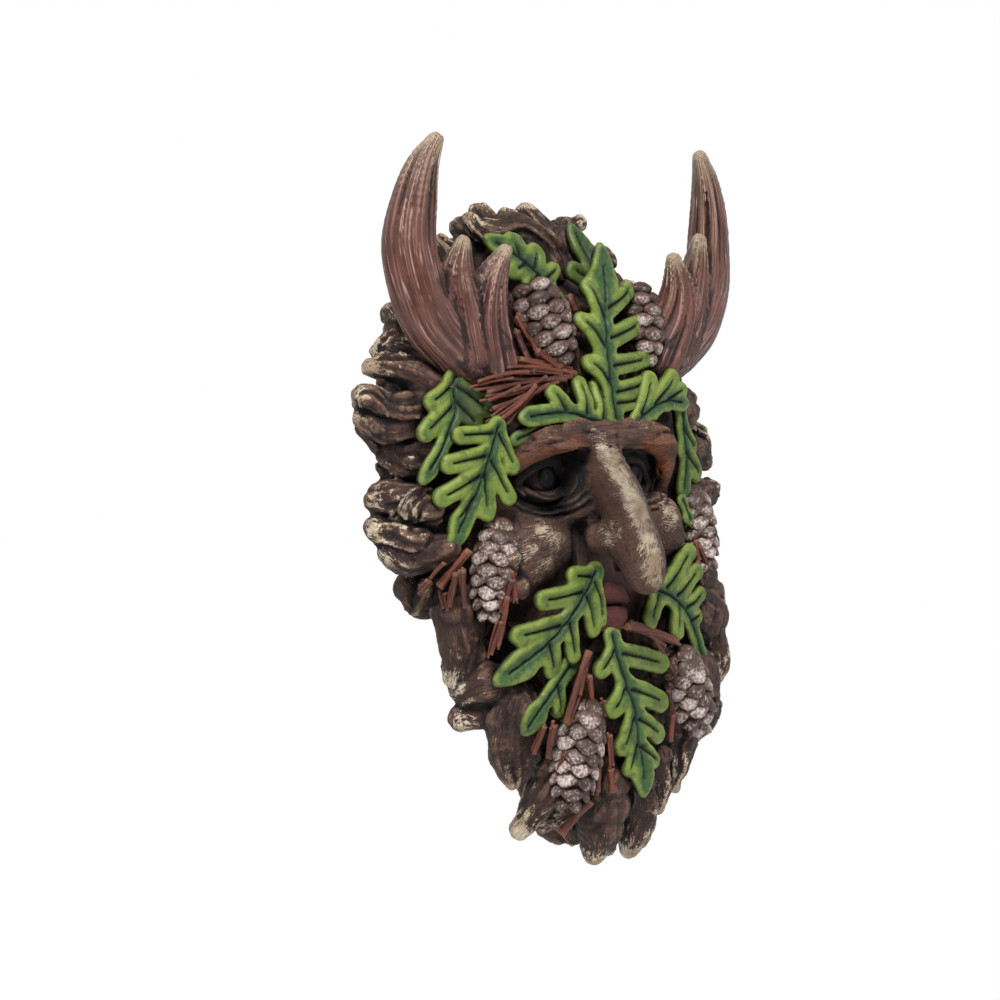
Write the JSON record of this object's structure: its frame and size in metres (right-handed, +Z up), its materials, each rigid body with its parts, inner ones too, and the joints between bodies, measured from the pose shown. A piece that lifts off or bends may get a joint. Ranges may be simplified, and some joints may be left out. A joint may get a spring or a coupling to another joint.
{
  "type": "green man wall mask",
  "caption": "Cast green man wall mask with a long-nosed wooden face, antlers, oak leaves, pine cones and a beard of bark, on a flat back.",
  "frame": {"origin": "on the wall behind the face, on the middle line at the height of the eyes", "axes": "+X to the viewer's right, +Y into the wall, +Z up"},
  "size_m": [0.1787, 0.0773, 0.2736],
  "materials": {
    "painted_resin": "cast resin painted in bark brown, leaf green and rust, dry-brushed cream on the high spots, satin varnish"
  },
  "bodies": {
    "root": {"green_man_mask": "painted_resin"}
  },
  "joints": []
}
